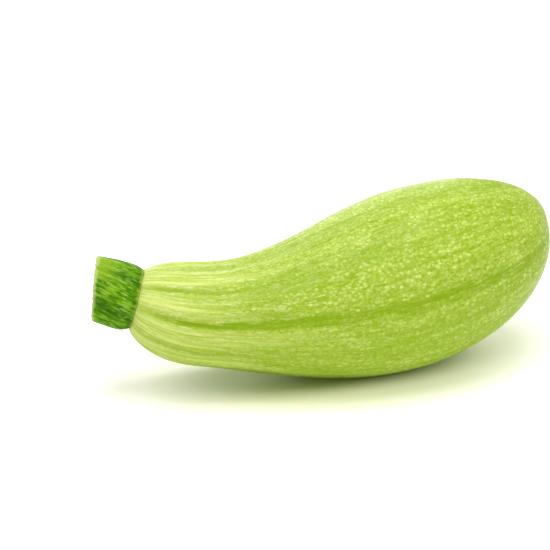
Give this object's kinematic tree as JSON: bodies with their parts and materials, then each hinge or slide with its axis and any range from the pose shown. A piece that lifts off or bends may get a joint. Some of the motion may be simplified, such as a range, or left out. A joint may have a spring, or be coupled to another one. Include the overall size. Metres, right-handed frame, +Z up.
{
  "type": "zucchini",
  "caption": "Pale green zucchini lying on its side: slim ribbed neck, gently curved body, swollen blossom end, short ridged cut stem.",
  "frame": {"origin": "middle of the object's box at floor level, under the fruit lying on its side", "axes": "+X along the length, from the cut stem to the blossom end; +Z up"},
  "size_m": [0.17, 0.0652, 0.0656],
  "materials": {
    "skin": "satin, pale lime skin with lighter speckles, slightly glossy",
    "stem": "dull, ridged and fibrous green, paler at the cut"
  },
  "bodies": {
    "root": {"fruit": "skin", "stem": "stem"}
  },
  "joints": []
}
